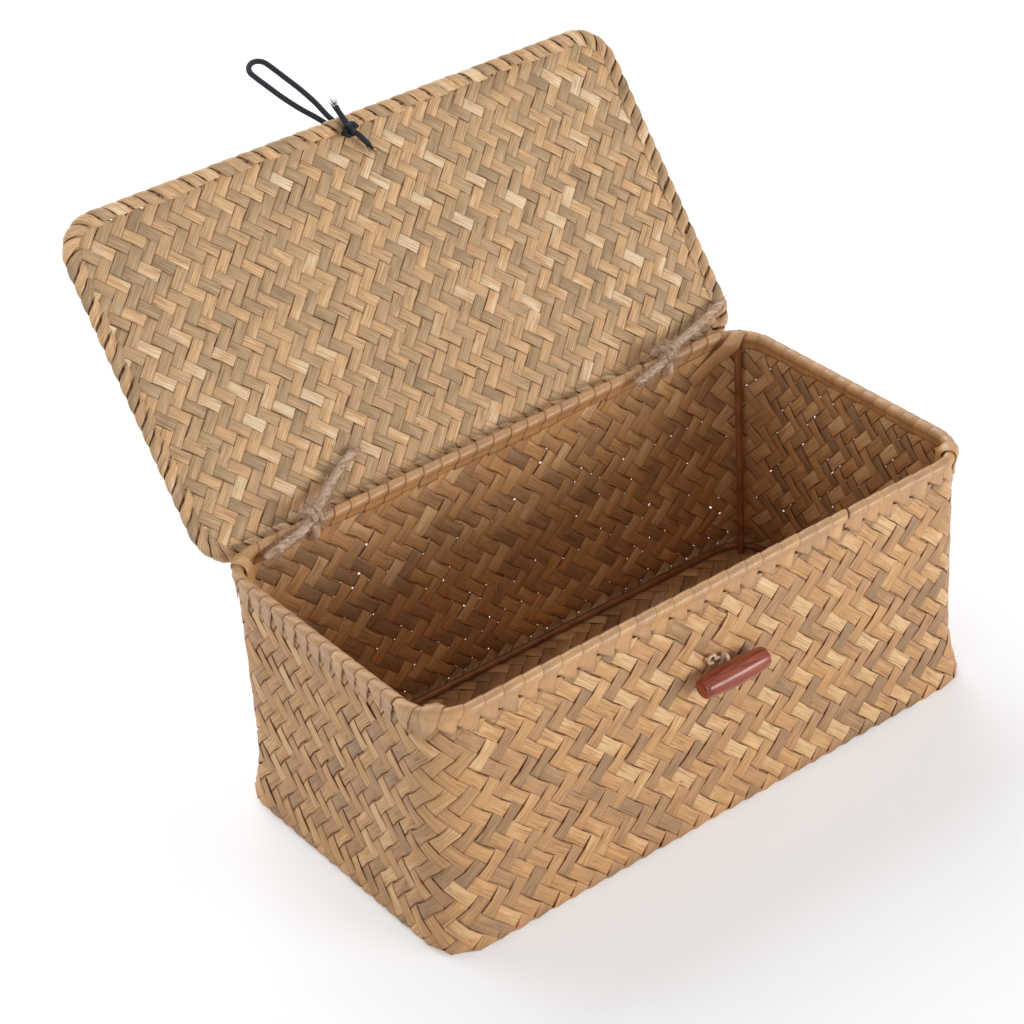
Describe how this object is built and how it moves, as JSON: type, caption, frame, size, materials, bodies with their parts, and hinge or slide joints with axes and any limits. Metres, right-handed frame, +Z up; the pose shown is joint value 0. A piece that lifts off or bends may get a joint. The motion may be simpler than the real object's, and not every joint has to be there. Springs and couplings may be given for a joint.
{
  "type": "woven lidded box",
  "caption": "Rectangular plaited seagrass storage box on a wire frame, with a tied-on flat lid and an elastic loop that closes over a wooden toggle.",
  "frame": {"origin": "centre of the base's underside, on the surface the box stands on", "axes": "+X along the box to its right end seen from the toggle, +Y towards the hinge, +Z up"},
  "size_m": [0.302, 0.3156, 0.2635],
  "materials": {
    "seagrass": "dry plaited seagrass strips, satin",
    "painted_wire": "brown paint, satin",
    "jute_twine": "hairy twisted twine, matt",
    "elastic_cord": "braided cover over a rubber core, matt",
    "lacquered_wood": "red-brown lacquer, gloss",
    "sewing_cord": "thin plant-fibre cord, matt"
  },
  "bodies": {
    "basket": {"basket_weave": "seagrass", "basket_rim": "seagrass", "top_ring": "painted_wire", "bottom_ring": "painted_wire", "upright_front_left": "painted_wire", "upright_front_right": "painted_wire", "upright_back_left": "painted_wire", "upright_back_right": "painted_wire", "left_hinge_tie": "jute_twine", "right_hinge_tie": "jute_twine"},
    "lid": {"lid_weave": "seagrass", "lid_rim": "seagrass", "lid_ring": "painted_wire", "elastic_knot": "elastic_cord"},
    "latch_loop": {"elastic_loop": "elastic_cord"},
    "toggle": {"toggle": "lacquered_wood", "toggle_cord": "sewing_cord", "toggle_knot": "sewing_cord"}
  },
  "joints": [
    {"name": "lid_hinge", "type": "hinge", "parent": "basket", "child": "lid", "pos_m": [0, 0.076, 0.121], "axis": [1, 0, 0], "range_deg": [0, 127], "deforming": ["left_hinge_tie", "right_hinge_tie", "elastic_knot"]},
    {"name": "loop_swing", "type": "hinge", "parent": "lid", "child": "latch_loop", "pos_m": [0, 0.17659, 0.24304], "axis": [1, 0, 0], "range_deg": [0, 98]},
    {"name": "toggle_turn", "type": "hinge", "parent": "basket", "child": "toggle", "pos_m": [0, -0.0851, 0.079], "axis": [0, 1, 0], "range_deg": [-90, 90]}
  ]
}
